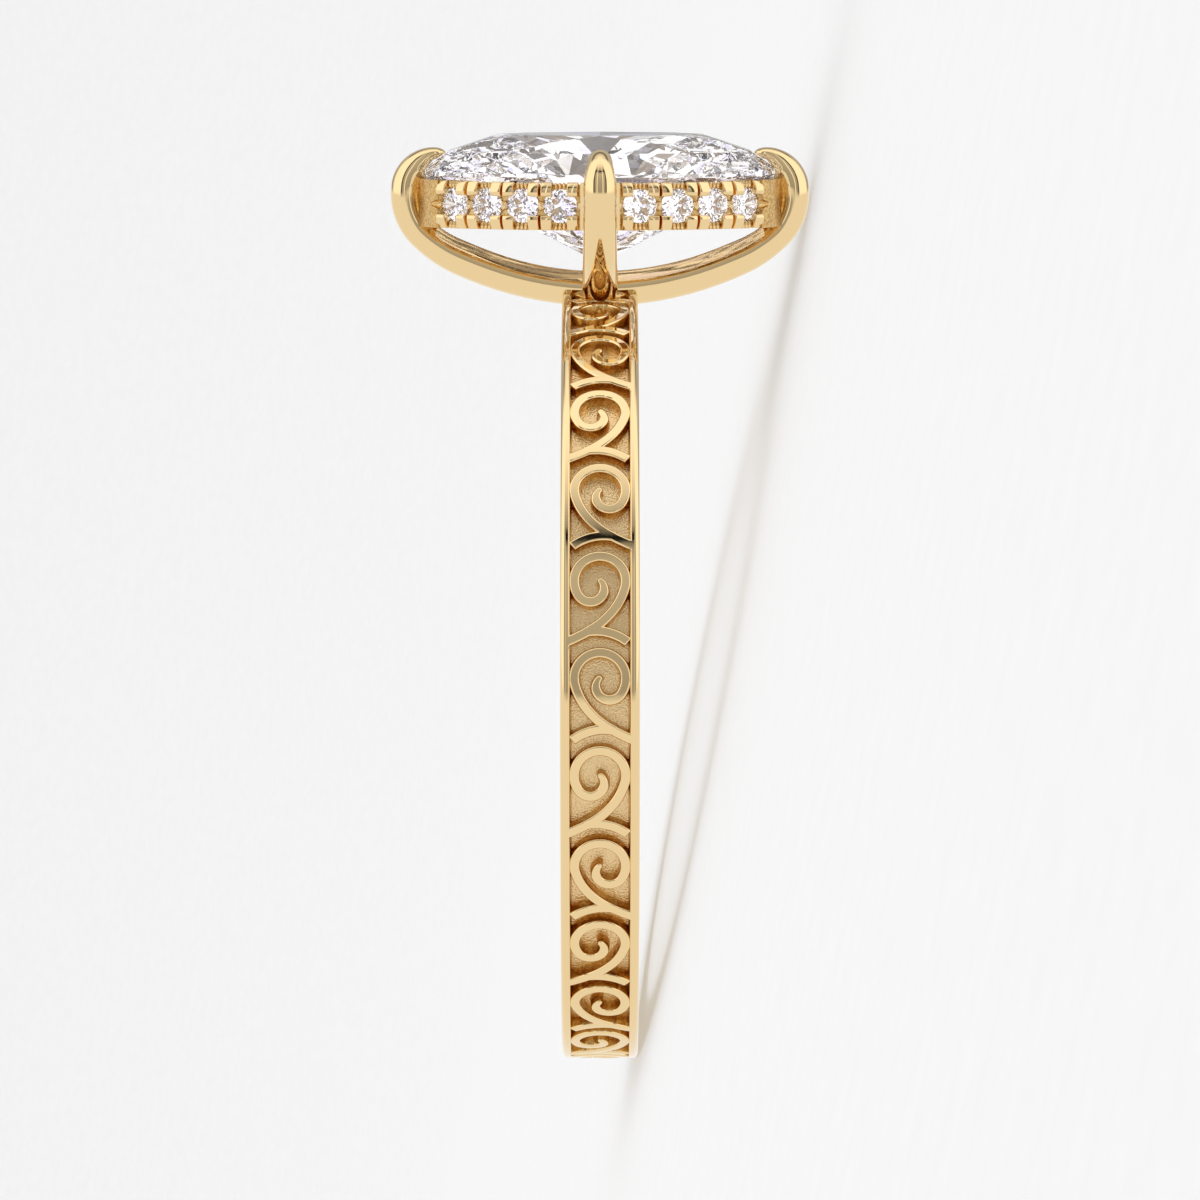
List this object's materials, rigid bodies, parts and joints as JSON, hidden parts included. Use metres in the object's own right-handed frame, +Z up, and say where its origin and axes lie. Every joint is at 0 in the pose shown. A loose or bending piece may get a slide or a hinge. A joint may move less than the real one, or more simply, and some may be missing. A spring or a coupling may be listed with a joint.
{
  "type": "hidden halo ring",
  "caption": "Finger ring with an oval brilliant in four claws, a hidden rail of small brilliants under its girdle, and a band with raised scrolls.",
  "frame": {"origin": "on the surface the ring lies on, under the middle of its bounding box", "axes": "+Z up from the surface the ring lies on, +X from the band towards the centre stone, +Y across the ring, along the short axis of the centre stone"},
  "size_m": [0.025, 0.0206, 0.011],
  "materials": {
    "gold": "polished yellow gold, with a finely stippled ground between the scrolls",
    "diamond": "clear faceted diamond"
  },
  "bodies": {
    "root": {"mounting": "gold", "centre_stone": "diamond", "halo_stone_01": "diamond", "halo_stone_02": "diamond", "halo_stone_03": "diamond", "halo_stone_04": "diamond", "halo_stone_05": "diamond", "halo_stone_06": "diamond", "halo_stone_07": "diamond", "halo_stone_08": "diamond", "halo_stone_09": "diamond", "halo_stone_10": "diamond", "halo_stone_11": "diamond", "halo_stone_12": "diamond", "halo_stone_13": "diamond", "halo_stone_14": "diamond", "halo_stone_15": "diamond", "halo_stone_16": "diamond"}
  },
  "joints": []
}
